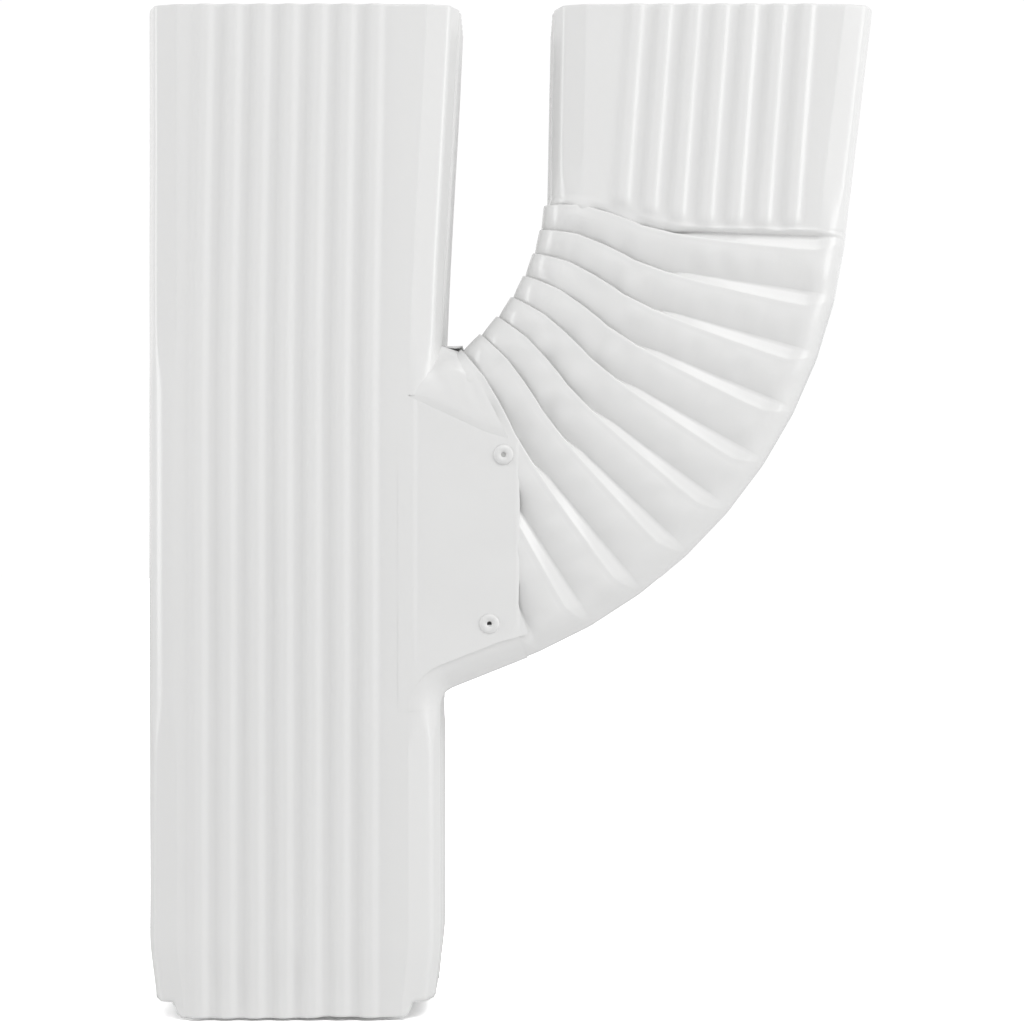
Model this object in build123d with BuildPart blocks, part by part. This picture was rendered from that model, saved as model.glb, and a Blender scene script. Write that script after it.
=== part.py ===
"""Downspout Y connector: a straight ribbed downspout with a pleated elbow let into its side.

Millimetres, +Z up. The origin is the centre of the straight downspout's outlet, +X points
to the elbow and -Y is the front. Both sheets are folded from painted aluminium.
"""
import os
from math import cos, radians, sin, tan

from build123d import *

# Sheet and ribs
sheet = 0.6
rib_height = 1.4
rib_pitch = 10.3
rib_flank = 2.2
rib_crest = 2.9
wide_face_ribs = 7
narrow_face_ribs = 5
rib_lead = 4.1
corner_radius = 11.4

# Straight downspout
tube_width = 108.0
tube_depth = 82.5
tube_height = 368.0
tube_spread = 5.5
spread_start = 240.0
outlet_crimp = 2.4
crimp_height = 28.0
notch_height = 6.0
seam_width = 6.0
seam_ply = 1.2
seam_from_back = 17.0

# Elbow
bend_x = 15.3
bend_z = 304.9
throat_radius = 78.6
elbow_width = 108.9
pleat_count = 10
pleats_in_collar = 2
first_pleat = 6.8
pleat_step = 6.66
outlet_angle = 68.5
lip_height = 2.3
lip_edge = 0.35
panel_recess = 2.0
wall_recess = 0.6
fold_overlap = 4.2
ridge_start = 1.0
ridge_end = 2.4
fold_floor = 0.9
elbow_corner = 11.4
end_past_wall = 7.0

# Elbow inlet
inlet_left = 92.4
inlet_right = 211.6
inlet_extra_lead = 7.0
stub_margin = 3.0

# Collar
fit_gap = 0.15
window_gap = 1.6
tab_gap = 0.3
flap_reach = 30.0
flap_edge_bottom = 145.5
flap_edge_top = 209.4
flap_root_bottom = 124.5
flap_root_top = 226.4
knee_reach = 12.6
knee_rise = 3.6
chamfer_reach = 8.5
chamfer_rise = 11.5
bottom_tab_reach = 26.0
bottom_tab_width = 48.0
bottom_tab_radius = 7.0
top_tab_z = 245.2
top_tab_reach = 8.5
top_tab_width = 54.0

# Rivets
rivet_radius = 1.6
rivet_flange = 3.6
rivet_flange_height = 0.9
rivet_tail = 2.5
rivet_tail_length = 3.2
rivet_bore = 0.9
mandrel_gap = 0.05
mandrel_recess = 0.5
mandrel_head = 1.4
mandrel_head_height = 1.1
hole_gap = 0.05
upper_rivet = (76.4, 204.8)
upper_grip = 2.9
lower_rivet = (71.3, 143.5)
lower_grip = 1.9

# Worked out from the sizes above
wall_x = tube_width / 2 - rib_height
face_y = tube_depth / 2 - rib_height
flap_start = wall_x - corner_radius
flap_tip = wall_x + flap_reach
collar_half_depth = face_y - sheet - fit_gap
wall_radius = throat_radius + elbow_width


def bend_point(radius, angle, down=0.0):
    """Point at a radius from the bend axis, turned down from level, then moved down the bend."""
    turn = radians(angle)
    return Vector(
        bend_x + radius * cos(turn) - down * sin(turn),
        0,
        bend_z - radius * sin(turn) - down * cos(turn),
    )


def bend_plane(angle, throat_down=0.0, wall_down=0.0):
    """Plane across the elbow: origin on the throat, x to the outer wall, normal up the bend."""
    throat = bend_point(throat_radius, angle, throat_down)
    wall = bend_point(wall_radius, angle, wall_down)
    outward = (wall - throat).normalized()
    return Plane(origin=throat, x_dir=outward, z_dir=outward.cross(Vector(0, 1, 0)))


def ribbed_points(start, end, height, ribs, lead):
    """Corner points of one ribbed side. The ribs stand out to the right of its direction."""
    start, end = Vector(*start), Vector(*end)
    along = (end - start).normalized()
    rise = Vector(along.Y, -along.X) * height
    points = [start]
    for rib in range(ribs):
        foot = start + along * (lead + rib * rib_pitch)
        points.append(foot)
        points.append(foot + along * rib_flank + rise)
        points.append(foot + along * (rib_flank + rib_crest) + rise)
        points.append(foot + along * (2 * rib_flank + rib_crest))
    points.append(end)
    return points


def ribbed_outline(left, right, half_depth, height, lead, inset):
    """Rounded rectangle through the troughs, with ribs on its four sides."""
    x0, x1, y1 = left + inset, right - inset, half_depth - inset
    radius = corner_radius - inset
    rib_width = 2 * rib_flank + rib_crest
    wide_ribs = (wide_face_ribs - 1) * rib_pitch + rib_width
    narrow_ribs = (narrow_face_ribs - 1) * rib_pitch + rib_width
    trail = right - left - 2 * corner_radius - wide_ribs - lead
    side_lead = (2 * (half_depth - corner_radius) - narrow_ribs) / 2
    with BuildLine() as outline:
        front = Polyline(ribbed_points(
            (x0 + radius, -y1), (x1 - radius, -y1), height, wide_face_ribs, lead))
        right_side = Polyline(ribbed_points(
            (x1, -y1 + radius), (x1, y1 - radius), height, narrow_face_ribs, side_lead))
        back = Polyline(ribbed_points(
            (x1 - radius, y1), (x0 + radius, y1), height, wide_face_ribs, trail))
        left_side = Polyline(ribbed_points(
            (x0, y1 - radius), (x0, -y1 + radius), height, narrow_face_ribs, side_lead))
        sides = [front, right_side, back, left_side]
        for side, following in zip(sides, sides[1:] + sides[:1]):
            TangentArc(side @ 1, following @ 0, tangent=side % 1)
    return outline.line


def ribbed_section(plane, left, right, half_depth, height=rib_height, lead=rib_lead):
    """The sheet's ribbed section as a sketch with the duct as its hole."""
    with BuildSketch(plane) as section:
        make_face(ribbed_outline(left, right, half_depth, height, lead, 0).edges())
        make_face(
            ribbed_outline(left, right, half_depth, height, lead, sheet).edges(),
            mode=Mode.SUBTRACT,
        )
    return section.sketch


def fold_section(plane, throat_rise, throat_half, wall_half, inset=0.0):
    """Section of the pleated elbow: a rectangle with round corners, narrower at one end."""
    throat = -throat_rise + inset
    wall = elbow_width - inset
    with BuildSketch(plane) as section:
        with BuildLine():
            Polyline(
                (throat, -throat_half + inset),
                (wall, -wall_half + inset),
                (wall, wall_half - inset),
                (throat, throat_half - inset),
                close=True,
            )
        make_face()
        fillet(section.vertices(), elbow_corner - inset)
    return section.sketch


def lip_half_depth(pleat):
    """Half depth of the elbow over a lip. It narrows towards the collar that it enters."""
    share = min(1.0, pleat / (pleat_count - pleats_in_collar))
    return face_y + (collar_half_depth - face_y) * share


def pleat_sections(pleat):
    """The two sections that shape one pleat: the groove's foot, then the lip that overhangs it."""
    angle = first_pleat + pleat * pleat_step
    half = lip_half_depth(pleat)
    return [
        fold_section(
            bend_plane(angle, fold_overlap, -ridge_start),
            0, half - panel_recess, half - wall_recess),
        fold_section(
            bend_plane(angle, lip_edge, ridge_end),
            lip_height, half, half),
    ]


def pleat_duct_section(pleat):
    """The duct at the foot of one pleat, a sheet's thickness inside it."""
    half = lip_half_depth(pleat)
    return fold_section(
        bend_plane(first_pleat + pleat * pleat_step, fold_overlap + fold_floor, ridge_start),
        0, half - panel_recess, half - wall_recess, sheet)


# Planes where the elbow changes form
inlet_plane = Plane(origin=(inlet_left, 0, tube_height), x_dir=(1, 0, 0), z_dir=(0, 0, 1))
rib_end_z = bend_point(throat_radius, first_pleat, -stub_margin).Z
rib_end_plane = Plane(
    origin=(bend_x + throat_radius, 0, rib_end_z), x_dir=(1, 0, 0), z_dir=(0, 0, 1))
end_x = wall_x - sheet - end_past_wall
wall_end = bend_point(wall_radius, outlet_angle)
outlet_length = (wall_end.X - end_x) / sin(radians(outlet_angle)) + corner_radius
outlet_plane = bend_plane(outlet_angle, outlet_length, outlet_length)

# The bottom tab runs just outside the elbow's underside, from a bend in the tube's wall
tab_line = bend_point(wall_radius + fit_gap + sheet / 2, outlet_angle)
tab_foot_x = wall_x - sheet / 2
tab_foot_z = tab_line.Z - (tab_line.X - tab_foot_x) / tan(radians(outlet_angle))
tab_bend_z = tab_foot_z - bottom_tab_radius * tan(radians(outlet_angle) / 2)
tab_end = (
    tab_foot_x + bottom_tab_reach * sin(radians(outlet_angle)),
    tab_foot_z + bottom_tab_reach * cos(radians(outlet_angle)),
)

# Elbow: the flared and ribbed inlet, with a ledge that closes the ends of its ribs
with BuildPart() as inlet:
    rib_ends = ribbed_section(rib_end_plane, 0, elbow_width, face_y)
    loft(
        [
            ribbed_section(
                inlet_plane, 0, inlet_right - inlet_left, face_y,
                lead=rib_lead + inlet_extra_lead),
            rib_ends,
        ],
        ruled=True,
    )
    with BuildSketch(rib_end_plane):
        make_face(ribbed_outline(0, elbow_width, face_y, rib_height, rib_lead, 0).edges())
        add(fold_section(Plane.XY, 0, face_y, face_y, sheet / 2), mode=Mode.SUBTRACT)
    extrude(amount=-sheet)

# Elbow: the pleats and the plain end, solid first and then hollowed
with BuildPart() as elbow:
    folds = [fold_section(rib_end_plane, 0, face_y, face_y, fit_gap)]
    duct = [fold_section(rib_end_plane, 0, face_y, face_y, sheet + fit_gap)]
    for pleat in range(pleat_count):
        folds += pleat_sections(pleat)
        duct.append(pleat_duct_section(pleat))
    folds.append(fold_section(outlet_plane, 0, collar_half_depth, collar_half_depth))
    duct.append(fold_section(outlet_plane, 0, collar_half_depth, collar_half_depth, sheet))
    loft(folds, ruled=True)
    loft(duct, ruled=True, mode=Mode.SUBTRACT)
    add(inlet.part)
    # The end is trimmed in line with the tube's wall, just inside it
    split(bisect_by=Plane(origin=(end_x, 0, 0), z_dir=(1, 0, 0)), keep=Keep.TOP)
    for x, z in (upper_rivet, lower_rivet):
        with BuildSketch(Plane.XZ):
            with Locations((x, z)):
                Circle(rivet_radius + hole_gap)
        extrude(amount=tube_depth, both=True, mode=Mode.SUBTRACT)

# Straight downspout, from the crimped outlet up to the spread top
with BuildPart() as main_tube:
    crimped_wall = wall_x - outlet_crimp
    crimped_face = face_y - outlet_crimp / 2
    loft(
        [
            ribbed_section(
                Plane.XY, -crimped_wall, crimped_wall, crimped_face,
                lead=rib_lead - outlet_crimp),
            ribbed_section(Plane.XY.offset(crimp_height), -wall_x, wall_x, face_y),
            ribbed_section(Plane.XY.offset(spread_start), -wall_x, wall_x, face_y),
            ribbed_section(
                Plane.XY.offset(tube_height), -wall_x, wall_x + tube_spread, face_y),
        ],
        ruled=True,
    )

    # Lock seam, folded flat against the inside of the hidden narrow face
    with BuildSketch(Plane.XY.offset(crimp_height)):
        with Locations((-wall_x + sheet / 2, face_y - seam_from_back)):
            Rectangle(seam_ply + sheet / 2, seam_width, align=(Align.MIN, Align.CENTER))
    extrude(amount=tube_height - crimp_height)

    # Notches at the outlet's corners, where the crimped sheet is cut back
    with Locations(*[
        (x, y, 0) for x in (-tube_width / 2, tube_width / 2)
        for y in (-tube_depth / 2, tube_depth / 2)
    ]):
        Box(
            2 * (tube_width / 2 - flap_start), 2 * (tube_width / 2 - flap_start),
            2 * notch_height, mode=Mode.SUBTRACT)

    # Window: the side wall is slit and its corners are folded flat into the flaps
    with BuildSketch(Plane.XZ):
        with Locations((flap_start, flap_root_bottom)):
            Rectangle(
                2 * corner_radius, flap_root_top - flap_root_bottom,
                align=(Align.MIN, Align.MIN))
    extrude(amount=tube_depth, both=True, mode=Mode.SUBTRACT)

    # Window: the rest of it follows the elbow's section
    window_throat = lip_height + window_gap
    with BuildSketch(bend_plane(outlet_angle)):
        with Locations(((elbow_width + fit_gap - window_throat) / 2, 0)):
            RectangleRounded(
                elbow_width + fit_gap + window_throat, 2 * (collar_half_depth + fit_gap / 2),
                elbow_corner - window_gap)
    extrude(amount=outlet_length, both=True, mode=Mode.SUBTRACT)

    # Window: slots where the two tabs are folded out of the side wall
    slots = [
        (tab_bend_z, flap_root_bottom + sheet, bottom_tab_width / 2 + tab_gap),
        (flap_root_top - sheet, top_tab_z, top_tab_width / 2 + tab_gap),
    ]
    for low, high, half in slots:
        with BuildSketch(Plane.XZ):
            with Locations((wall_x - 2 * sheet, low)):
                Rectangle(corner_radius, high - low, align=(Align.MIN, Align.MIN))
        extrude(amount=half, both=True, mode=Mode.SUBTRACT)

    # Bottom tab, bent out of the wall along the elbow's underside
    with BuildSketch(Plane.XZ):
        with BuildLine():
            FilletPolyline(
                (tab_foot_x, tab_bend_z - sheet), (tab_foot_x, tab_foot_z), tab_end,
                radius=bottom_tab_radius)
        trace(line_width=sheet)
    extrude(amount=bottom_tab_width / 2, both=True)

    # Top tab, bent out level over the throat
    with BuildSketch(Plane.XZ):
        with Locations((wall_x - sheet, top_tab_z)):
            Rectangle(top_tab_reach + sheet, sheet, align=(Align.MIN, Align.MAX))
    extrude(amount=top_tab_width / 2, both=True)

    # Flaps, in one plane with the wide faces
    with BuildSketch(Plane.XZ.offset(face_y - sheet)) as flap:
        with BuildLine():
            Polyline(
                (flap_start - sheet, flap_root_bottom),
                (flap_tip - chamfer_reach, flap_edge_bottom - chamfer_rise),
                (flap_tip, flap_edge_bottom),
                (flap_tip, flap_edge_top),
                (flap_tip - knee_reach, flap_edge_top + knee_rise),
                (flap_start - sheet, flap_root_top),
                close=True,
            )
        make_face()
        with Locations(upper_rivet, lower_rivet):
            Circle(rivet_radius + hole_gap, mode=Mode.SUBTRACT)
    extrude(amount=sheet)
    mirror(about=Plane.XZ)

# Rivet seats on the front and back flaps, each plane's z out of the flap
rivet_seats = [
    (Plane(origin=(x, side * face_y, z), x_dir=(1, 0, 0), z_dir=(0, side, 0)), grip)
    for (x, z), grip in ((upper_rivet, upper_grip), (lower_rivet, lower_grip))
    for side in (-1, 1)
]

# Blind rivets: a bevelled flange, a hollow shank and the tail that was pulled up inside
with BuildPart() as rivets:
    for seat, grip in rivet_seats:
        profile = Plane(origin=seat.origin, x_dir=seat.x_dir, z_dir=-seat.y_dir)
        tail_end = -grip - rivet_tail_length
        with BuildSketch(profile):
            with BuildLine():
                Polyline(
                    (rivet_bore, tail_end), (rivet_tail, tail_end), (rivet_radius, -grip),
                    (rivet_radius, 0), (rivet_flange, 0),
                    (rivet_flange, rivet_flange_height / 3),
                    (rivet_radius, rivet_flange_height), (rivet_bore, rivet_flange_height / 2),
                    close=True)
            make_face()
        revolve(axis=Axis(seat.origin, seat.z_dir))

# What is left of the pulled mandrels: a stem in each rivet and the head behind its tail
with BuildPart() as rivet_mandrels:
    for seat, grip in rivet_seats:
        profile = Plane(origin=seat.origin, x_dir=seat.x_dir, z_dir=-seat.y_dir)
        stem = rivet_bore - mandrel_gap
        tail_end = -grip - rivet_tail_length
        with BuildSketch(profile):
            with BuildLine():
                Polyline(
                    (0, -mandrel_recess), (stem, -mandrel_recess), (stem, tail_end),
                    (mandrel_head, tail_end), (mandrel_head, tail_end - mandrel_head_height),
                    (0, tail_end - mandrel_head_height),
                    close=True)
            make_face()
        revolve(axis=Axis(seat.origin, seat.z_dir))

os.makedirs("parts", exist_ok=True)
main_tube.part.label = "main_tube"
export_step(main_tube.part, "parts/main_tube.step")
elbow.part.label = "elbow"
export_step(elbow.part, "parts/elbow.step")
rivets.part.label = "rivets"
export_step(rivets.part, "parts/rivets.step")
rivet_mandrels.part.label = "rivet_mandrels"
export_step(rivet_mandrels.part, "parts/rivet_mandrels.step")
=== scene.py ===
"""The painted downspout Y connector, dressed for a soft white studio photograph.

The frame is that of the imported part: +X points to the elbow, -Y is the front, +Z is up.
Shapes are drawn in millimetres and scaled to metres where a mesh is made.
"""
import math

import bpy
import numpy as np
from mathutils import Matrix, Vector


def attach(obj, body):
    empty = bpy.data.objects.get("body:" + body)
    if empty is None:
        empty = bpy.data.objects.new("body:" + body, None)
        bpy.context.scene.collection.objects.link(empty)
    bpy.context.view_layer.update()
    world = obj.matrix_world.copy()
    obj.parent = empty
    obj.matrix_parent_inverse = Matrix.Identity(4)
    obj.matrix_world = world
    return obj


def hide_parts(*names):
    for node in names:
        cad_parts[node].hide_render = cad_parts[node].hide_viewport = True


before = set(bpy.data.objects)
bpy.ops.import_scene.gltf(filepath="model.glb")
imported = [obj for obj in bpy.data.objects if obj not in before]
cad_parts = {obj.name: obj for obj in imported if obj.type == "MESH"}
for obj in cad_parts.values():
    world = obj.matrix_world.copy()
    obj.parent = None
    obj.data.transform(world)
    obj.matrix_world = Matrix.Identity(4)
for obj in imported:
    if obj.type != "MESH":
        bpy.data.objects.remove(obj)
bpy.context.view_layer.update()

MM = 0.001

# Sheet and ribs
SHEET = 0.6
CORNER = 11.4
RIB_HEIGHT = 1.25
NARROW_RIB_HEIGHT = 0.6
RIB_PITCH = 10.3
RIB_FLANK = 2.2
RIB_CREST = 2.9
RIB_SOFT = 0.7
RIB_LEAD = 4.1
WIDE_RIBS = 7
NARROW_RIBS = 5

# Corners pressed into two flats: the flats' tilt, the radius of the bend between them,
# and the stations along a flat
FACET_TILT = math.radians(19)
FACET_BEND = 3.2
FACET_BEND_STEPS = 7
FACET_STATIONS = (0.0, 0.4, 1.2, 3.0, 5.0)

# Columns along each side of a section
WIDE_COLS = 112
NARROW_COLS = 68
ELBOW_NARROW_COLS = 26
CORNER_COLS = 17

# Straight tube. A zone is a pair of heights between which something comes or goes; the
# pressing beside the collar starts below the heel, so its first zone counts from there
WALL_X = 53.4
FACE_Y = 39.85
TUBE_HEIGHT = 368.0
TUBE_DEPTH = 82.5
SPREAD = 6.8
SPREAD_ZONE = (210.0, 428.0)
SPREAD_RIB_SHIFT = 0.35
CRIMP = 2.4
CRIMP_HEIGHT = 28.0
CRIMP_ZONE = (2.0, 30.0)
NOTCH = 6.0
OUTER_ROUND = 0.3
INNER_ROUND = 0.4
PRESSED_START_ZONE = (-14, -2)
PRESSED_END_ZONE = (228, 250)

# Dents of the tube: cells of the noise along and round the tube, seed and depth
DENTS = ((16, 26), 3, 0.13)
SLOW_DENTS = ((4, 9), 4, 0.15)
CRIMP_DENTS = ((1, 60), 5, 0.35)
CRIMP_DENTS_HEIGHT = 12
CRIMP_DENTS_SPREAD = 10
DENT_LIMIT = 0.12

# Lock seam inside the hidden narrow face
SEAM_Y = FACE_Y - 17.0
SEAM_HALF = 3.0
SEAM_PLY = 1.2
SEAM_BEVEL = 0.3

# Collar: flaps, the window cut for the elbow's throat, and its tab
FLAP_START = 41.2
FLAP_TIP = 82.4
FLAP_ROOT_TOP = 226.4
FLAP_TOP_LINE = ((FLAP_START, 70.0, 82.6), (FLAP_ROOT_TOP, 213.0, 209.4))
FLAP_LAP = 1.6
FLAP_CREASE = 0.55
FLAP_ROLL = 0.45
WINDOW_TOP = 245.2
WINDOW_HALF = 27.5
TAB_Z = 244.7
TAB_HALF = 26.6
TAB_REACH = 8.0
TAB_RAGGED = 2.6

# Heel: the tube's side wall drawn out along the elbow's underside
HEEL_RADIUS = 7.0
HEEL_RECESS = 0.8
HEEL_STEPS = 12
HEEL_REACHES = (4, 10, 18, 26, 29.5)

# Elbow, bent about an axis along Y. Rho is the distance from its throat; angles are in
# degrees down from level
BEND_X = 15.3
BEND_Z = 304.9
THROAT_RADIUS = 78.6
ELBOW_WIDTH = 108.9
COLLAR_HALF = 38.5
OUTLET_ANGLE = 68.5
END_X = 45.0
PLEATS = 10
FIRST_PLEAT = 6.8
PLEAT_STEP = 6.66
STUB_ANGLE = 4.6
INLET_LEFT = 95.0
INLET_RIGHT = 211.6
INLET_TOP_LEAD = 14.5
INLET_LOW_LEAD = 10.5

# Pleats. A line gives a value over rho: how far the lip sags down the bend, how deep the
# foot lies, how far the lip hangs over it, and how thick the lip's edge is
LIP_HEIGHT = 2.3
FOLD_ZONE = (26, 58)
FOLD_LAP = 4.2
BEVEL_LAP = -0.5
LIP_LINE = (
    (0, 12, 22, 34, 46, 60, 75, 90, 105), (0, -0.8, 0.6, 3.2, 3.9, 3.3, 2.2, 1.0, 0))
RECESS_LINE = ((0, 10, 20, 38, 60, 95, 103, 108.9), (2.5, 3.2, 4.3, 3.9, 2.4, 1.9, 0.9, 0))
RIDGE_LINE = (
    (0, 30, 45, 60, 75, 90, 98, 103, 107), (0.35, 0.35, 1.2, 2.5, 3.7, 4.8, 5.0, 3.2, 1.0))
EDGE_LINE = ((0, 30, 60, 108.9), (0.42, 0.42, 0.5, 0.5))

# Panels between the pleats: rows from one lip to the next foot, and how far they bow out
# on the faces, on the throat and next to a deep foot
PANEL_STEPS = (0.1, 0.22, 0.36, 0.5, 0.64, 0.78, 0.9, 0.97)
PANEL_BOW = 0.45
THROAT_BOW = 0.35
FOOT_BOW = 0.9
PANEL_RIB_HEIGHT = 0.27

# Shares of the inlet's height, down its outer skin and up its inner one
INLET_ROWS = (
    0.97, 0.92, 0.86, 0.8, 0.73, 0.66, 0.6, 0.53, 0.46, 0.4, 0.33, 0.27, 0.2, 0.14, 0.09,
    0.05, 0.03, 0.012, 0.0)
INLET_RIM = ((1.0, 0.3), (0.998, 0.1), (0.993, 0.0))
INLET_INNER_ROWS = (0.0, 0.02, 0.05, 0.1, 0.3, 0.6, 0.9, 0.99, 0.999)

# Shoulder above each flap, from the tube's corner to the lip of a pleat
SHOULDER_ROWS = 26
SHOULDER_COLS = 30
SHOULDER_PLEAT = 7
SHOULDER_BULGE = 1.0

# Rivets: place on the flap, in X and Z, and grip
RIVETS = (((76.4, 204.8), 2.9), ((71.3, 143.5), 1.9))
RIVET_BORE = 0.92
RIVET_SEAT = 0.45
RIVET_TAIL = 3.2

# Studio, in metres and watts
LENS = 87.5
SENSOR = 36
CAMERA_PLACE = (0.0795, -0.941, 0.184)
LIGHT_TARGET = (0.08, 0, 0.2)
LIGHTS = (
    ("key_right", (1.5, -0.7, 0.5), 0.7, 1.5, 9.6),
    ("fill_left", (-1.6, -0.35, 0.4), 0.6, 1.6, 10.8),
    ("top_front", (0.5, -1.0, 1.7), 1.5, 1.0, 10.6))
FLOOR_HALF = 6
FLOOR_Z = -0.0006
FLOOR_TONE = 0.9
FLOOR_TONE_SEEN = 3.0
WORLD_LIGHT = 0.50
WORLD_SEEN = 1.02


def smooth(x, low, high):
    """Smooth step from 0 at low to 1 at high."""
    t = np.clip((np.asarray(x, float) - low) / (high - low), 0, 1)
    return t * t * (3 - 2 * t)


def soft_noise(shape, cells, seed, wrap=False):
    """Smooth noise between about -1 and 1 over a grid, with so many cells along each side."""
    source = np.random.default_rng(seed)
    coarse = source.uniform(-1, 1, (cells[0] + 2, cells[1] + 2))
    if wrap:
        coarse[:, cells[1]] = coarse[:, 0]
    rows = np.linspace(0, cells[0], shape[0])
    cols = np.linspace(0, cells[1], shape[1], endpoint=not wrap)
    r0, c0 = rows.astype(int), cols.astype(int)
    fr, fc = rows - r0, cols - c0
    fr, fc = fr * fr * (3 - 2 * fr), fc * fc * (3 - 2 * fc)
    out = np.zeros(shape)
    for dr, wr in ((0, 1 - fr), (1, fr)):
        for dc, wc in ((0, 1 - fc), (1, fc)):
            out += coarse[np.ix_(r0 + dr, c0 + dc)] * wr[:, None] * wc[None, :]
    return out


class Shape:
    """Points in millimetres and faces, gathered for one mesh."""

    def __init__(self):
        self.points = []
        self.faces = []
        self.count = 0

    def grid(self, points, wrap_rows=False, wrap_cols=False, keep=None, flip=False):
        """Adds quads over a grid of points, row by row."""
        rows, cols = points.shape[:2]
        first = self.count
        self.points.append(points.reshape(-1, 3))
        self.count += rows * cols
        for r in range(rows if wrap_rows else rows - 1):
            for c in range(cols if wrap_cols else cols - 1):
                if keep is not None and not keep[r, c]:
                    continue
                r1, c1 = (r + 1) % rows, (c + 1) % cols
                quad = (
                    first + r * cols + c, first + r * cols + c1,
                    first + r1 * cols + c1, first + r1 * cols + c)
                self.faces.append(quad[::-1] if flip else quad)

    def sheet(self, front, back, flip=False):
        """Adds two skins and joins them along their four edges."""
        self.grid(front, flip=flip)
        self.grid(back, flip=not flip)
        for edges in (
                (front[0], back[0]), (front[-1], back[-1]),
                (front[:, 0], back[:, 0]), (front[:, -1], back[:, -1])):
            self.grid(np.stack(edges))

    def build(self, name):
        """The mesh as a smooth-shaded object."""
        mesh = bpy.data.meshes.new(name)
        points = np.concatenate(self.points) * MM
        mesh.from_pydata([tuple(p) for p in points], [], self.faces)
        mesh.validate()
        mesh.shade_smooth()
        obj = bpy.data.objects.new(name, mesh)
        bpy.context.scene.collection.objects.link(obj)
        return obj


# ---- Ribbed section ----
def rib(distance, count, lead):
    """Height, 0 to 1, of softly rounded ribs at a distance along a side."""
    out = np.zeros_like(distance)
    for i in range(count):
        start = lead + i * RIB_PITCH
        end = start + 2 * RIB_FLANK + RIB_CREST
        up = smooth(distance, start - RIB_SOFT, start + RIB_FLANK + RIB_SOFT)
        down = smooth(distance, end - RIB_FLANK - RIB_SOFT, end + RIB_SOFT)
        out = np.maximum(out, up - down)
    return out


def facet_corner():
    """A corner as two flats and a tight bend: place along both sides, and the normal's turn."""
    reach = CORNER / (math.cos(FACET_TILT) + math.sin(FACET_TILT))
    flat = reach - FACET_BEND * math.tan(math.pi / 4 - FACET_TILT)
    first = [
        (d * math.cos(FACET_TILT), d * math.sin(FACET_TILT), FACET_TILT)
        for d in FACET_STATIONS + (flat,)]
    middle = (
        flat * math.cos(FACET_TILT) - FACET_BEND * math.sin(FACET_TILT),
        flat * math.sin(FACET_TILT) + FACET_BEND * math.cos(FACET_TILT))
    turns = np.linspace(FACET_TILT, math.pi / 2 - FACET_TILT, FACET_BEND_STEPS)
    bend = [
        (middle[0] + FACET_BEND * math.sin(a), middle[1] - FACET_BEND * math.cos(a), a)
        for a in turns[1:-1]]
    last = [(CORNER - v, CORNER - u, math.pi / 2 - a) for u, v, a in first[::-1]]
    return np.array(first + bend + last)


CORNER_TABLE = facet_corner()


def corner_points(share, facet):
    """Along a corner: place from its centre, along and across its first side, and turn."""
    last = len(CORNER_TABLE) - 1
    index = share * last
    u, v, tilt = [np.interp(index, np.arange(last + 1), column) for column in CORNER_TABLE.T]
    turn = index / last * math.pi / 2
    along = CORNER * np.sin(turn) * (1 - facet) + u * facet
    across = CORNER * np.cos(turn) * (1 - facet) + (CORNER - v) * facet
    return along, across, turn * (1 - facet) + tilt * facet


def section_columns(narrow_cols=NARROW_COLS):
    """Columns round a section: side number and share along it. Sides run front, right corner,
    right, back right corner, back, back left corner, left, front left corner."""
    side, share = [], []
    for number, cols in enumerate((WIDE_COLS, CORNER_COLS, narrow_cols, CORNER_COLS) * 2):
        side += [number] * cols
        share += list(np.arange(cols) / cols)
    return np.array(side), np.array(share)


def ribbed_row(
        side, share, left, right, half, lead, height, inset, right_ribs=1.0, facet=0.0):
    """One row of points round a ribbed section: x, y and the outward normal. Its corners go
    from round to flat-sided as facet goes from 0 to 1."""
    x, y, nx, ny, lift = np.zeros((5, len(side)))
    wide = right - left - 2 * CORNER
    narrow = 2 * (half - CORNER)
    rib_width = 2 * RIB_FLANK + RIB_CREST
    trail = wide - (WIDE_RIBS - 1) * RIB_PITCH - rib_width - lead
    side_lead = (narrow - (NARROW_RIBS - 1) * RIB_PITCH - rib_width) / 2
    for number in range(8):
        m = side == number
        s = share[m]
        if number == 0:
            x[m], y[m], nx[m], ny[m] = left + CORNER + s * wide, -half, 0, -1
            lift[m] = rib(s * wide, WIDE_RIBS, lead)
        elif number == 2:
            x[m], y[m], nx[m], ny[m] = right, -half + CORNER + s * narrow, 1, 0
            lift[m] = rib(s * narrow, NARROW_RIBS, side_lead)
        elif number == 4:
            x[m], y[m], nx[m], ny[m] = right - CORNER - s * wide, half, 0, 1
            lift[m] = rib(s * wide, WIDE_RIBS, trail)
        elif number == 6:
            x[m], y[m], nx[m], ny[m] = left, half - CORNER - s * narrow, -1, 0
            lift[m] = rib(s * narrow, NARROW_RIBS, side_lead)
        else:
            quarter = (number // 2 - 1) * math.pi / 2
            along, across, turn = corner_points(s, facet)
            cx = (right - CORNER) if number in (1, 3) else (left + CORNER)
            cy = (-half + CORNER) if number in (1, 7) else (half - CORNER)
            nx[m], ny[m] = np.cos(quarter + turn), np.sin(quarter + turn)
            x[m] = cx + along * math.cos(quarter + math.pi / 2) + across * math.cos(quarter)
            y[m] = cy + along * math.sin(quarter + math.pi / 2) + across * math.sin(quarter)
    narrow_height = NARROW_RIB_HEIGHT / RIB_HEIGHT
    scale = np.select([side == 2, side == 6], [narrow_height * right_ribs, narrow_height], 1.0)
    offset = lift * height * scale - inset
    return x + nx * offset, y + ny * offset, nx, ny


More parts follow.
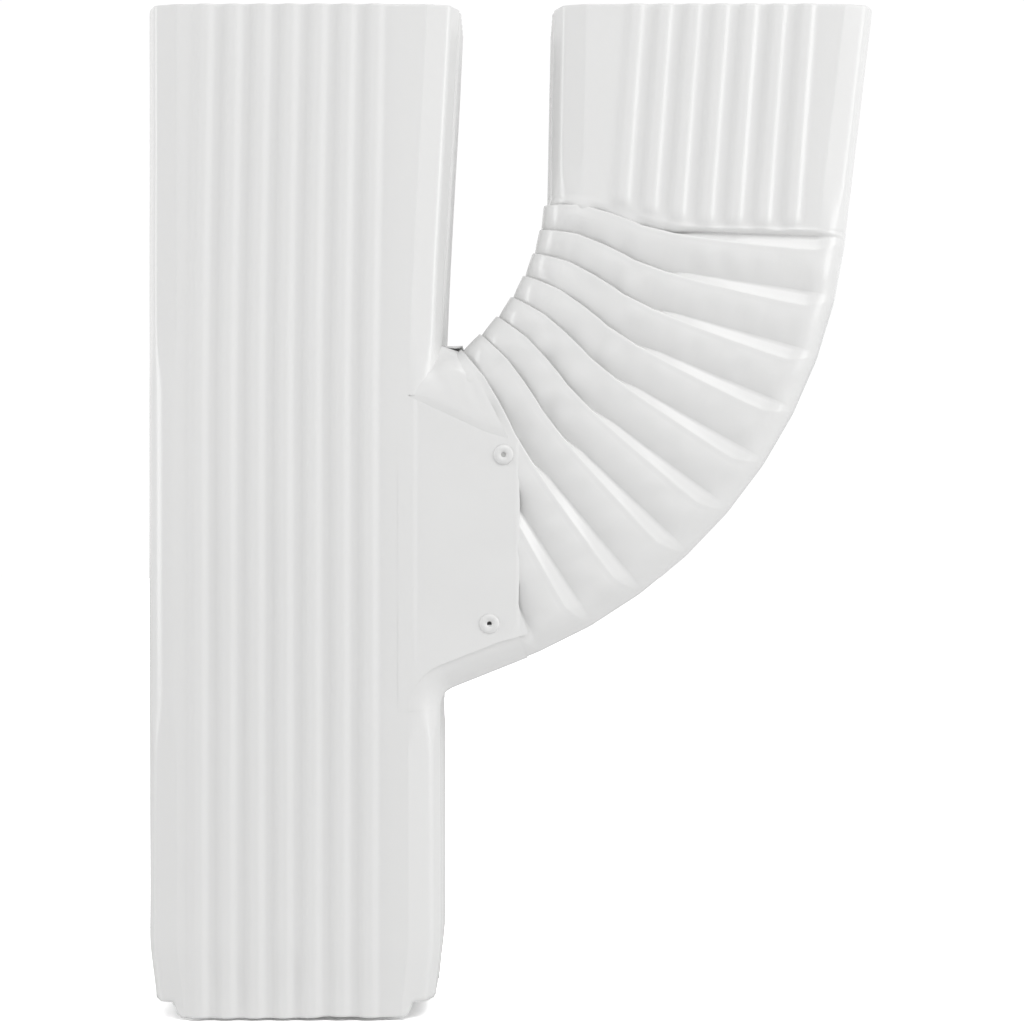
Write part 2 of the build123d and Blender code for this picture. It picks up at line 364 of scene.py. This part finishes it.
# ---- Straight tube ----
def heel_line():
    """Start height of the heel's bend, and the bend axis's distance from the tube's middle."""
    turn = math.radians(OUTLET_ANGLE)
    wall_radius = THROAT_RADIUS + ELBOW_WIDTH + 0.5
    line_x = BEND_X + wall_radius * math.cos(turn)
    line_z = BEND_Z - wall_radius * math.sin(turn)
    foot_z = line_z - (line_x - WALL_X) / math.tan(turn)
    return foot_z - HEEL_RADIUS * math.tan(turn / 2), WALL_X + HEEL_RADIUS


HEEL_START, HEEL_AXIS = heel_line()


def tube_levels():
    """Heights of the rows up the tube's outer skin, and down its inner one."""
    outer = np.concatenate([
        [0.0, 0.25, 0.8, 1.8, 3.0, 4.5, NOTCH],
        np.linspace(8, 36, 12), np.linspace(41, HEEL_START - 2, 16),
        [HEEL_START - 0.6, HEEL_START + 0.3], np.linspace(119, FLAP_ROOT_TOP, 22),
        np.linspace(231, WINDOW_TOP, 4), np.linspace(251, 366.6, 24),
        [367.4, 367.85, TUBE_HEIGHT]])
    inner = np.concatenate([
        [TUBE_HEIGHT, 367.6, 366.0], np.linspace(350, 250, 6),
        [WINDOW_TOP, FLAP_ROOT_TOP, 190, 160, HEEL_START + 0.3, 100, 70, 36],
        [28, 18, 8, NOTCH, 2.0, 0.4, 0.0]])
    return outer, inner


def outer_inset(z):
    """How far the outer skin is rounded off near either rim."""
    edge = min(min(z, TUBE_HEIGHT - z) / OUTER_ROUND, 1)
    return SHEET * 0.5 * (1 - math.sqrt(max(0.0, 1 - (1 - edge) ** 2)))


def inner_inset(z):
    """How far the inner skin lies inside the outer one, less near either rim."""
    edge = min(min(z, TUBE_HEIGHT - z) / INNER_ROUND, 1)
    return SHEET - SHEET * 0.5 * (1 - edge) ** 2


def tube_row(side, share, z, inset):
    """The straight tube's section at a height, with its normals. Beside the collar the wall's
    ribs are pressed flat and the corners left round."""
    crimped = 1 - smooth(z, *CRIMP_ZONE)
    spread = SPREAD * smooth(z, *SPREAD_ZONE) / float(smooth(TUBE_HEIGHT, *SPREAD_ZONE))
    wall = WALL_X - CRIMP * crimped
    half = FACE_Y - CRIMP / 2 * crimped
    lead = RIB_LEAD - CRIMP * crimped + SPREAD_RIB_SHIFT * spread
    pressed = smooth(z - HEEL_START, *PRESSED_START_ZONE) * (1 - smooth(z, *PRESSED_END_ZONE))
    x, y, nx, ny = ribbed_row(
        side, share, -wall, wall + spread, half, lead, RIB_HEIGHT, inset,
        1 - float(pressed), 1 - float(pressed))
    return np.stack([x, y, np.full_like(x, z)], 1), np.stack([nx, ny], 1)


def tube_dents(heights, cols):
    """Slow dents and the uneven hand crimp, the same on both skins and never outwards."""
    grid = (len(heights), cols)
    order = np.argsort(heights, kind="stable")
    wave = np.zeros(grid)
    for cells, seed, depth in (DENTS, SLOW_DENTS):
        wave[order] += soft_noise(grid, cells, seed, wrap=True) * depth
    cells, seed, depth = CRIMP_DENTS
    band = np.exp(-((heights - CRIMP_DENTS_HEIGHT) / CRIMP_DENTS_SPREAD) ** 2)[:, None]
    wave += soft_noise(grid, cells, seed, wrap=True)[0] * depth * band
    return np.minimum(wave, DENT_LIMIT) - DENT_LIMIT


def cut_rim(points, heights):
    """Makes the lower rim wavy, and cuts the corners back to the notch."""
    cols = points.shape[1]
    corner_zone = smooth(np.abs(points[..., 0]), FLAP_START + 0.4, FLAP_START + 1.6)
    low = heights[:, None] < NOTCH + 0.1
    rim_wave = (soft_noise((2, cols), (1, 22), 6, wrap=True)[0] * 0.5 + 0.6)[None, :]
    bottom = np.where(low, (NOTCH - heights[:, None]) / NOTCH, 0)
    z = points[..., 2] + bottom * rim_wave * (1 - corner_zone)
    notch_wave = (soft_noise((2, cols), (1, 40), 8, wrap=True)[0] * 0.35)[None, :]
    notched = np.maximum(z, NOTCH + 0.15 + notch_wave)
    points[..., 2] = np.where(low, z * (1 - corner_zone) + notched * corner_zone, z)


def outside_mouth(points, heights):
    """Which faces stay: wall and corners were folded away where the collar opens."""
    quad_x, quad_y = [
        (points[..., k] + np.roll(points[..., k], -1, 1)) / 2 for k in (0, 1)]
    middle = ((heights + np.roll(heights, -1)) / 2)[:, None]
    beside_flaps = (middle > HEEL_START) & (middle < FLAP_ROOT_TOP)
    in_window = (middle > HEEL_START) & (middle < WINDOW_TOP) & (np.abs(quad_y) < WINDOW_HALF)
    in_corner = (quad_x > FLAP_START + 0.6) & beside_flaps
    in_wall = (quad_x > WALL_X - 3) & (beside_flaps | in_window)
    return ~(in_corner | in_wall)


def main_tube():
    """The straight tube with its lock seam, flaps, heel and top tab, as one mesh."""
    shape = Shape()
    side, share = section_columns()
    outer, inner = tube_levels()
    rows = [tube_row(side, share, z, outer_inset(z)) for z in outer]
    rows += [tube_row(side, share, z, inner_inset(z)) for z in inner]
    points = np.array([row for row, _ in rows])
    normals = np.array([normal for _, normal in rows])
    heights = np.concatenate([outer, inner])
    points[..., :2] += normals * tube_dents(heights, len(side))[..., None]
    cut_rim(points, heights)
    shape.grid(points, wrap_rows=True, wrap_cols=True, keep=outside_mouth(points, heights))

    seam_x = -WALL_X + SHEET * 0.5
    seam = []
    for z in (CRIMP_HEIGHT, CRIMP_HEIGHT + 4, 120, 240, TUBE_HEIGHT - 0.6):
        seam.append([
            (seam_x, SEAM_Y - SEAM_HALF, z),
            (seam_x + SEAM_PLY, SEAM_Y - SEAM_HALF + SEAM_BEVEL, z),
            (seam_x + SEAM_PLY, SEAM_Y + SEAM_HALF - SEAM_BEVEL, z),
            (seam_x, SEAM_Y + SEAM_HALF, z)])
    shape.grid(np.array(seam))

    flaps(shape)
    heel(shape)
    top_tab(shape)
    return shape.build("straight_downspout")


# ---- Collar ----
def plate(shape, centre, axis, sign=1):
    """Adds a closed sheet about a grid of points, with its thickness along an axis."""
    half = np.zeros_like(centre)
    half[..., axis] = sign * SHEET / 2
    shape.sheet(centre + half, centre - half)


def flap_edges(x):
    """Lower and upper edge of a flap at a distance from the tube's middle."""
    turn = math.radians(OUTLET_ANGLE)
    reach = HEEL_AXIS - (WALL_X - CORNER)
    arc_end = HEEL_AXIS - reach * math.cos(turn)
    arc = HEEL_START + np.sqrt(
        np.maximum(0, reach ** 2 - (HEEL_AXIS - np.minimum(x, arc_end)) ** 2))
    low = arc + np.maximum(0, x - arc_end) / math.tan(turn) - FLAP_LAP
    return low, np.interp(x, *FLAP_TOP_LINE)


def flaps(shape):
    """Front and back flaps of the collar, creased where they leave the wide face."""
    across = np.concatenate([
        np.linspace(FLAP_START - 3.0, FLAP_START + 6, 16), np.linspace(48.5, 79.5, 26),
        np.linspace(80.2, FLAP_TIP, 8)])
    up = np.linspace(0, 1, 90)
    wobble = soft_noise((len(up), 2), (9, 1), 21)[:, :1] * 0.35
    dents = soft_noise((len(up), len(across)), (7, 4), 22) * 0.16
    flat_x = np.repeat(across[None, :], len(up), 0)
    low, high = flap_edges(flat_x)
    z = low + (high - low) * up[:, None]

    # The tip's edge is wavy, and reaches further at its foot
    tip = smooth(flat_x, 74.0, FLAP_TIP)
    x = flat_x + (wobble - 0.35) * tip + 3.6 * tip * (1 - smooth(z, 137, 152))
    crease = FLAP_CREASE * smooth(x, FLAP_START + 2.4, FLAP_START + 4.4) * smooth(z, 118, 150)
    bend = 0.012 * np.maximum(0, x - 71.0)
    roll = FLAP_ROLL * smooth(x, FLAP_TIP - 2.2, FLAP_TIP + 0.2) ** 2
    inside = smooth(x, FLAP_START + 4, FLAP_START + 9)
    depth = FACE_Y - SHEET / 2 - crease - bend - roll + np.minimum(dents, 0.06) * inside - 0.02
    for sign in (-1, 1):
        plate(shape, np.stack([x, sign * depth, z], 2), 1, sign)


def heel_skin(inset):
    """One skin of the heel: the wall and its corners, bent and then drawn out straight."""
    turn = math.radians(OUTLET_ANGLE)
    radius = CORNER - inset
    corner = np.linspace(0, math.pi / 2, 13)
    bends = [(0.0, -1.2)] + [(angle, 0.0) for angle in np.linspace(0, turn, HEEL_STEPS)]
    bends += [(turn, reach) for reach in HEEL_REACHES]
    rows = []
    for number, (angle, reach) in enumerate(bends):
        half = FACE_Y - inset - HEEL_RECESS * float(smooth(number, 2, 14))
        x_front = WALL_X - inset - radius + radius * np.sin(corner)
        y_front = -(half - radius + radius * np.cos(corner))
        flat = np.linspace(y_front[-1], -y_front[-1], 12)[1:-1]
        x = np.concatenate([x_front, np.full(len(flat), WALL_X - inset), x_front[::-1]])
        y = np.concatenate([y_front, flat, -y_front[::-1]])
        arm = HEEL_AXIS - x
        rows.append(np.stack([
            HEEL_AXIS - arm * math.cos(angle) + reach * math.sin(angle), y,
            HEEL_START + arm * math.sin(angle) + reach * math.cos(angle)], 1))
    return np.array(rows)


def heel(shape):
    """The heel drawn out along the elbow's underside, slightly swollen."""
    outer, inner = heel_skin(0.0), heel_skin(SHEET)
    outer[..., 2] += soft_noise(outer.shape[:2], (5, 9), 61) * 0.15
    shape.sheet(outer, inner)


def top_tab(shape):
    """The jagged tab folded out over the elbow's throat."""
    y = np.linspace(-TAB_HALF, TAB_HALF, 60)
    out = np.linspace(0, 1, 6)[:, None]
    ragged = np.random.default_rng(31).uniform(0, 1, len(y))
    reach = TAB_REACH - TAB_RAGGED * ragged * smooth(np.abs(y), 14, 26)
    lift = 0.5 * np.random.default_rng(32).uniform(-1, 1, len(y)) * smooth(np.abs(y), 12, 26)
    x = WALL_X - SHEET + out * (reach + SHEET)[None, :]
    z = TAB_Z + lift[None, :] * out
    plate(shape, np.stack([x, np.repeat(y[None, :], len(out), 0), z], 2), 2)


# ---- Elbow ----
def bend_points(rho, y, angle):
    """Points at a distance from the throat and an angle round the bend."""
    turn = np.radians(angle)
    radius = THROAT_RADIUS + rho
    return np.stack([BEND_X + radius * np.cos(turn), y, BEND_Z - radius * np.sin(turn)], -1)


def lip_shift(rho, pleat):
    """How far down the bend the lip's line sags at a distance from the throat."""
    return np.interp(rho, *LIP_LINE) * (1.1 - 0.35 * min(1.0, pleat / 7))


def lip_half(pleat):
    """Half the elbow's depth at a pleat: it narrows down to the collar."""
    share = min(1.0, pleat / (PLEATS - 2))
    return FACE_Y + (COLLAR_HALF - FACE_Y) * share


class ElbowSheet:
    """Rows of points round the elbow's sheet, with what each column does along it."""

    def __init__(self):
        self.side, self.share = section_columns(ELBOW_NARROW_COLS)
        self.rho, _, self.n_rho, self.n_y = self.section(FACE_Y)
        self.front = np.abs(self.n_y)
        self.throat = np.maximum(0, -self.n_rho)
        wall = np.maximum(0, self.n_rho)
        self.off_wall = 1 - wall

        # How far the lip stands out, how deep its foot lies, and how much it folds under
        self.lip_out = LIP_HEIGHT * self.throat ** 0.8
        self.foot_in = (
            np.interp(self.rho, *RECESS_LINE) * np.clip(self.front * 1.6, 0, 1) * self.off_wall)
        self.fold = 1 - smooth(self.rho, *FOLD_ZONE)
        self.foot_down = FOLD_LAP * self.fold + (1 - self.fold) * BEVEL_LAP
        self.ridge = np.interp(self.rho, *RIDGE_LINE)
        self.edge = 1 - smooth(self.n_rho, 0.15, 0.8)
        self.crest = np.interp(self.rho, *EDGE_LINE) * self.edge

        # Ribs of the blank that still show in the panels
        along = np.where(self.side == 4, ELBOW_WIDTH - self.rho, self.rho) - CORNER
        self.panel_ribs = PANEL_RIB_HEIGHT * rib(along, WIDE_RIBS, RIB_LEAD) * self.front * (
            smooth(self.rho, 26, 40) * (1 - smooth(self.rho, 94, 102)))

    def section(self, half, inset=0.0):
        """Distance from the throat, depth and outward normal of each column."""
        return ribbed_row(
            self.side, self.share, 0, ELBOW_WIDTH, half, RIB_LEAD, 0, inset)

    def skin(self, pleat, out, down):
        """A row at a pleat: out from the section, and down from the lip's line."""
        rho, y, n_rho, n_y = self.section(lip_half(pleat))
        angle = FIRST_PLEAT + pleat * PLEAT_STEP + np.degrees(
            (down + lip_shift(rho, pleat)) / (THROAT_RADIUS + rho))
        return bend_points(rho + n_rho * out, y + n_y * out, angle)

    def inlet_row(self, height, inset):
        """A row of the inlet, on straight lines from its flared rim to the first pleat."""
        flare = INLET_RIGHT - INLET_LEFT
        width = ELBOW_WIDTH + (flare - ELBOW_WIDTH) * height
        lead = INLET_LOW_LEAD + (INLET_TOP_LEAD - INLET_LOW_LEAD) * height
        rib_height = RIB_HEIGHT * smooth(height, -0.02, 0.035)
        x, y, _, _ = ribbed_row(
            self.side, self.share, 0, width, FACE_Y, lead, rib_height, inset,
            facet=float(smooth(height, 0.0, 0.2)))
        across = x / width
        low = bend_points(
            across * ELBOW_WIDTH, y, STUB_ANGLE + 1.2 * smooth(self.rho, 20, 60) + np.degrees(
                lip_shift(self.rho, 0) * 0.9 / (THROAT_RADIUS + self.rho)))
        top = np.stack(
            [INLET_LEFT + across * flare, y, np.full(len(y), TUBE_HEIGHT)], -1)
        return low + (top - low) * height

    def pleat_rows(self, pleat, start):
        """A panel down to the foot under the next lip, back up, and over the lip's edge."""
        fold, bevel = self.fold, 1 - self.fold
        slope = self.foot_in / (self.ridge + 0.5)
        foot = self.skin(pleat, -self.foot_in, self.foot_down)
        under = self.skin(
            pleat, fold * (self.lip_out - self.crest) - bevel * slope * 0.8,
            self.ridge - 0.1 * fold - 0.8 * bevel)
        tip_up = self.skin(
            pleat, fold * (self.lip_out - 0.12 * self.edge) - bevel * slope * 0.25,
            self.ridge - 0.42)
        tip = self.skin(pleat, self.lip_out, self.ridge)
        tip_down = self.skin(pleat, self.lip_out - 0.05 * self.edge, self.ridge + 0.7)

        turn = np.radians(FIRST_PLEAT + pleat * PLEAT_STEP)
        outward = np.stack(
            [self.n_rho * np.cos(turn), self.n_y, -self.n_rho * np.sin(turn)], -1)
        dents = soft_noise((9, len(self.side)), (2, 44), 200 + pleat, wrap=True) * self.front * (
            0.95 - 0.6 * smooth(self.rho, 30, 62))
        rows = []
        for t, dent in zip(PANEL_STEPS, dents):
            bow = math.sin(math.pi * t)
            lift = bow * (PANEL_BOW * self.front * self.off_wall + dent + self.panel_ribs)
            lift = lift + FOOT_BOW * self.foot_in * (t - t * t) + THROAT_BOW * bow * self.throat
            rows.append(start + (foot - start) * t + outward * lift[:, None])
        rows += [foot + (under - foot) * t for t in (0, 0.3, 0.65, 1)]
        return rows + [tip_up, tip, tip_down]

    def end_row(self, inset, share):
        """A row of the plain end inside the collar, at a share of the way to its rim."""
        turn = math.radians(OUTLET_ANGLE)
        rho, y, _, _ = self.section(COLLAR_HALF)
        travel = np.maximum(
            0.4, (bend_points(rho, y, OUTLET_ANGLE)[:, 0] - END_X) / math.sin(turn))
        slide = np.stack([-np.sin(turn) * travel, 0 * travel, -np.cos(turn) * travel], -1)
        rho, y, _, _ = self.section(COLLAR_HALF, inset)
        return bend_points(rho, y, OUTLET_ANGLE) + slide * share

    def inner_pleat_rows(self, pleat):
        """The duct's skin behind a pleat, from below its foot to above it."""
        deep = self.skin(pleat, -self.foot_in - SHEET - 0.1, self.foot_down + 0.9)
        shallow = self.skin(
            pleat, -self.foot_in * 0.6 - SHEET + self.lip_out * 0.2, self.foot_down - 3.2)
        return [deep, shallow]


def elbow():
    """The flared inlet, the pleats and the plain end, with the duct's skin inside."""
    sheet = ElbowSheet()
    rows = [sheet.inlet_row(height, inset) for height, inset in INLET_RIM]
    rows += [sheet.inlet_row(height, 0) for height in INLET_ROWS]
    inlet_rows = len(rows)
    for pleat in range(PLEATS):
        rows += sheet.pleat_rows(pleat, rows[-1])
    rows += [sheet.end_row(0.0, share) for share in (0.15, 0.4, 0.7, 0.98)]
    rows += [sheet.end_row(SHEET, share) for share in (0.98, 0.3)]
    for pleat in reversed(range(PLEATS)):
        rows += sheet.inner_pleat_rows(pleat)
    for height in INLET_INNER_ROWS:
        rows.append(sheet.inlet_row(height, SHEET - (0.15 if height > 0.995 else 0)))

    points = np.array(rows)
    dents = soft_noise((inlet_rows, points.shape[1]), (5, 26), 41, wrap=True) * 0.14
    points[:inlet_rows, :, 1] += dents * sheet.n_y * 0.8
    points[..., 1] = np.clip(points[..., 1], -TUBE_DEPTH / 2, TUBE_DEPTH / 2)
    shape = Shape()
    shape.grid(points, wrap_rows=True, wrap_cols=True, flip=True)
    return shape.build("pleated_elbow")


def shoulder():
    """Smoothed sheet between each flap's upper edge, the top tab and the eighth pleat."""
    shape = Shape()
    t = np.linspace(0, 1, SHOULDER_ROWS)
    u = np.linspace(0, 1, SHOULDER_COLS)[None, :, None]

    # Up the tube's rounded corner
    turn = t * math.pi / 2
    left = np.stack([
        WALL_X - CORNER + CORNER * np.sin(turn) - 0.3,
        -(FACE_Y - CORNER + CORNER * np.cos(turn)) + 0.25,
        225.6 + 19.4 * t ** 0.8], 1)

    # Up the edge of the eighth lip, from the flap's corner to the top tab
    rho = np.interp(t, (0, 0.55, 0.8, 1), (34.0, 9.0, 1.5, -1.9))
    depth = np.interp(t, (0, 0.55, 0.7, 0.8, 0.9, 1), (39.55, 39.3, 37.4, 34.0, 30.6, 27.0))
    down = np.interp(t, (0, 0.4, 0.6, 1), (4.2, 2.0, 0.9, 0.9))
    angle = math.radians(FIRST_PLEAT + SHOULDER_PLEAT * PLEAT_STEP) + down / (
        THROAT_RADIUS + rho)
    right = np.stack([
        BEND_X + (THROAT_RADIUS + rho) * np.cos(angle), -depth,
        BEND_Z - (THROAT_RADIUS + rho) * np.sin(angle)], 1)
    front = left[:, None, :] * (1 - u) + right[:, None, :] * u

    # The lower edge tucks in behind the flap
    low_x = front[0, :, 0]
    _, high = flap_edges(low_x)
    front[..., 2] += (high - 1.2 - front[0, :, 2])[None, :] * ((1 - t) ** 2)[:, None]
    tuck = 0.55 * smooth(low_x, 43, 47) + 0.1
    front[..., 1] += tuck[None, :] * np.exp(-(t / 0.06) ** 2)[:, None]

    # The middle stands out and is crumpled, but hardly past the tube's face
    bulge = np.sin(math.pi * t)[:, None] * np.sin(math.pi * u[0, :, 0])[None, :]
    front[..., 1] -= SHOULDER_BULGE * bulge
    front[..., 0] += 0.6 * SHOULDER_BULGE * bulge
    front[..., 1] = np.maximum(front[..., 1], -FACE_Y)
    crumple = soft_noise((SHOULDER_ROWS, SHOULDER_COLS), (6, 5), 51) * 0.35 * bulge
    front[..., 1] += np.maximum(crumple, -0.2)

    back = front + (-0.3, SHEET * 0.8, 0.0)
    for sign in (-1, 1):
        mirror = (1, -sign, 1)
        shape.sheet(front * mirror, back * mirror, flip=sign > 0)
    return shape.build("collar_shoulder")


# ---- Rivets ----
def lathe(shape, profile, place, sign, steps=40):
    """Turns a profile of radius and height out of the flap about a rivet's axis."""
    angle = np.linspace(0, 2 * math.pi, steps, endpoint=False)[None, :]
    radius, height = [np.array(values)[:, None] for values in zip(*profile)]
    x = place[0] + radius * np.cos(angle)
    z = place[1] + radius * np.sin(angle)
    y = sign * (FACE_Y - RIVET_SEAT + height + 0 * angle)
    shape.grid(np.stack([x, y, z], 2), wrap_cols=True, flip=sign < 0)


def rivets():
    """Blind rivets: a soft domed flange with a dished hole, the shank and the upset tail."""
    shape = Shape()
    for place, grip in RIVETS:
        tail = -grip - RIVET_TAIL + RIVET_SEAT
        profile = [
            (RIVET_BORE, tail), (RIVET_BORE, 0.15), (1.0, 0.32), (1.35, 0.50), (1.75, 0.66),
            (2.1, 0.74), (2.5, 0.72), (2.9, 0.62), (3.25, 0.46), (3.5, 0.28), (3.6, 0.12),
            (3.58, 0.0), (3.4, -0.05), (1.6, -0.05), (1.6, 0.45 - grip), (2.2, -grip),
            (2.5, -grip - 0.9), (2.45, tail + 0.6), (1.9, tail), (RIVET_BORE, tail)]
        for sign in (-1, 1):
            lathe(shape, profile, place, sign)
    return shape.build("blind_rivets")


# ---- Materials ----
def node(tree, kind, **values):
    """A new shader node with some inputs, or else properties, set."""
    made = tree.nodes.new(kind)
    for key, value in values.items():
        if key in made.inputs:
            made.inputs[key].default_value = value
        else:
            setattr(made, key, value)
    return made


def new_material(name):
    """A new material with its node tree."""
    material = bpy.data.materials.new(name)
    material.use_nodes = True
    return material, material.node_tree


def paint(name, base, roughness, bump=0.02):
    """Gloss paint on sheet: a slight change of tone and a faint orange peel."""
    material, tree = new_material(name)
    shader = tree.nodes["Principled BSDF"]
    where = tree.nodes.new("ShaderNodeTexCoord")
    cloud = node(tree, "ShaderNodeTexNoise", Scale=9.0, Detail=3.0)
    tree.links.new(where.outputs["Object"], cloud.inputs["Vector"])
    ramp = tree.nodes.new("ShaderNodeValToRGB")
    darker, plain = ramp.color_ramp.elements
    darker.position, plain.position = 0.3, 0.7
    darker.color = [c * 0.985 for c in base] + [1]
    plain.color = list(base) + [1]
    tree.links.new(cloud.outputs["Fac"], ramp.inputs["Fac"])
    tree.links.new(ramp.outputs["Color"], shader.inputs["Base Color"])
    shader.inputs["Roughness"].default_value = roughness
    shader.inputs["IOR"].default_value = 1.5
    peel = node(tree, "ShaderNodeTexNoise", Scale=420.0, Detail=2.0)
    tree.links.new(where.outputs["Object"], peel.inputs["Vector"])
    relief = node(tree, "ShaderNodeBump", Strength=bump, Distance=0.001)
    tree.links.new(peel.outputs["Fac"], relief.inputs["Height"])
    tree.links.new(relief.outputs["Normal"], shader.inputs["Normal"])
    return material


def steel_with_painted_hole_shade():
    """Mandrel stems: the upper pair broke off bright; the lower pair is painted near-black, as
    painted shade of the hole it sits in.
    """
    material, tree = new_material("mandrel_steel")
    shader = tree.nodes["Principled BSDF"]
    where = tree.nodes.new("ShaderNodeTexCoord")
    split = tree.nodes.new("ShaderNodeSeparateXYZ")
    tree.links.new(where.outputs["Object"], split.inputs["Vector"])
    upper = node(tree, "ShaderNodeMapRange", **{"From Min": 0.17, "From Max": 0.18})
    tree.links.new(split.outputs["Z"], upper.inputs["Value"])
    # Painted shade: below 0.17 m the steel is near-black to stand in for the shade inside the
    # lower rivets' holes; above it is the grey of the broken steel
    tone = tree.nodes.new("ShaderNodeMix")
    tone.data_type = "RGBA"
    tone.inputs["A"].default_value = (0.012, 0.012, 0.013, 1)
    tone.inputs["B"].default_value = (0.55, 0.55, 0.54, 1)
    tree.links.new(upper.outputs["Result"], tone.inputs["Factor"])
    tree.links.new(tone.outputs["Result"], shader.inputs["Base Color"])
    shader.inputs["Roughness"].default_value = 0.5
    return material


white = paint("white_paint", (0.80, 0.80, 0.795), 0.22)
rivet_white = paint("rivet_paint", (0.78, 0.78, 0.775), 0.3)

tube_piece = main_tube()
tube_piece.data.materials.append(white)
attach(tube_piece, "root")
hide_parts("main_tube")

elbow_piece = elbow()
elbow_piece.data.materials.append(white)
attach(elbow_piece, "root")
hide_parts("elbow")

shoulder_piece = shoulder()
shoulder_piece.data.materials.append(white)
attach(shoulder_piece, "root")

rivet_piece = rivets()
rivet_piece.data.materials.append(rivet_white)
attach(rivet_piece, "root")
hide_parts("rivets")

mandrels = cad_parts["rivet_mandrels"]
# The mandrels' material is steel grey above and painted hole shade below
steel_and_painted_shade = steel_with_painted_hole_shade()
for material_slot in mandrels.material_slots:
    material_slot.material = steel_and_painted_shade

# ---- Camera ----
camera = bpy.data.cameras.new("camera")
camera.lens = LENS
camera.sensor_width = SENSOR
camera_object = bpy.data.objects.new("camera", camera)
camera_object.location = CAMERA_PLACE
camera_object.rotation_euler = (math.pi / 2, 0, 0)
bpy.context.scene.collection.objects.link(camera_object)
bpy.context.scene.camera = camera_object


# ---- Floor and light ----
def area_light(name, place, width, height, power):
    """A soft rectangular light turned to the object."""
    data = bpy.data.lights.new(name, "AREA")
    data.shape = "RECTANGLE"
    data.size = width
    data.size_y = height
    data.energy = power
    obj = bpy.data.objects.new(name, data)
    obj.location = place
    aim = Vector(LIGHT_TARGET) - Vector(place)
    obj.rotation_euler = aim.to_track_quat("-Z", "Y").to_euler()
    bpy.context.scene.collection.objects.link(obj)


# The floor looks white to the camera and lights the object as a pale floor does
floor_mesh = bpy.data.meshes.new("floor")
floor_mesh.from_pydata(
    [(-FLOOR_HALF, -FLOOR_HALF, FLOOR_Z), (FLOOR_HALF, -FLOOR_HALF, FLOOR_Z),
     (FLOOR_HALF, FLOOR_HALF, FLOOR_Z), (-FLOOR_HALF, FLOOR_HALF, FLOOR_Z)], [],
    [(0, 1, 2, 3)])
floor = bpy.data.objects.new("floor", floor_mesh)
bpy.context.scene.collection.objects.link(floor)
floor_material, tree = new_material("floor_white")
tree.nodes.clear()
floor_output = tree.nodes.new("ShaderNodeOutputMaterial")
floor_shader = tree.nodes.new("ShaderNodeBsdfDiffuse")
floor_path = tree.nodes.new("ShaderNodeLightPath")
floor_tone = tree.nodes.new("ShaderNodeMix")
floor_tone.data_type = "RGBA"
floor_tone.clamp_result = False
floor_tone.inputs["A"].default_value = (FLOOR_TONE, FLOOR_TONE, FLOOR_TONE, 1)
floor_tone.inputs["B"].default_value = (FLOOR_TONE_SEEN, FLOOR_TONE_SEEN, FLOOR_TONE_SEEN, 1)
tree.links.new(floor_path.outputs["Is Camera Ray"], floor_tone.inputs["Factor"])
tree.links.new(floor_tone.outputs["Result"], floor_shader.inputs["Color"])
tree.links.new(floor_shader.outputs["BSDF"], floor_output.inputs["Surface"])
floor_mesh.materials.append(floor_material)

# The world is white to the camera and in reflections, and dimmer as a light
world = bpy.data.worlds.new("studio")
world.use_nodes = True
bpy.context.scene.world = world
tree = world.node_tree
background = tree.nodes["Background"]
background.inputs["Color"].default_value = (1, 1, 1, 1)
background.inputs["Strength"].default_value = WORLD_LIGHT
seen = node(tree, "ShaderNodeBackground", Color=(1, 1, 1, 1), Strength=WORLD_SEEN)
light_path = tree.nodes.new("ShaderNodeLightPath")
mix = tree.nodes.new("ShaderNodeMixShader")
either = node(tree, "ShaderNodeMath", operation="MAXIMUM")
tree.links.new(light_path.outputs["Is Camera Ray"], either.inputs[0])
tree.links.new(light_path.outputs["Is Glossy Ray"], either.inputs[1])
tree.links.new(either.outputs[0], mix.inputs["Fac"])
tree.links.new(background.outputs["Background"], mix.inputs[1])
tree.links.new(seen.outputs["Background"], mix.inputs[2])
tree.links.new(mix.outputs["Shader"], tree.nodes["World Output"].inputs["Surface"])

for light in LIGHTS:
    area_light(*light)

bpy.context.scene.view_settings.view_transform = "Standard"
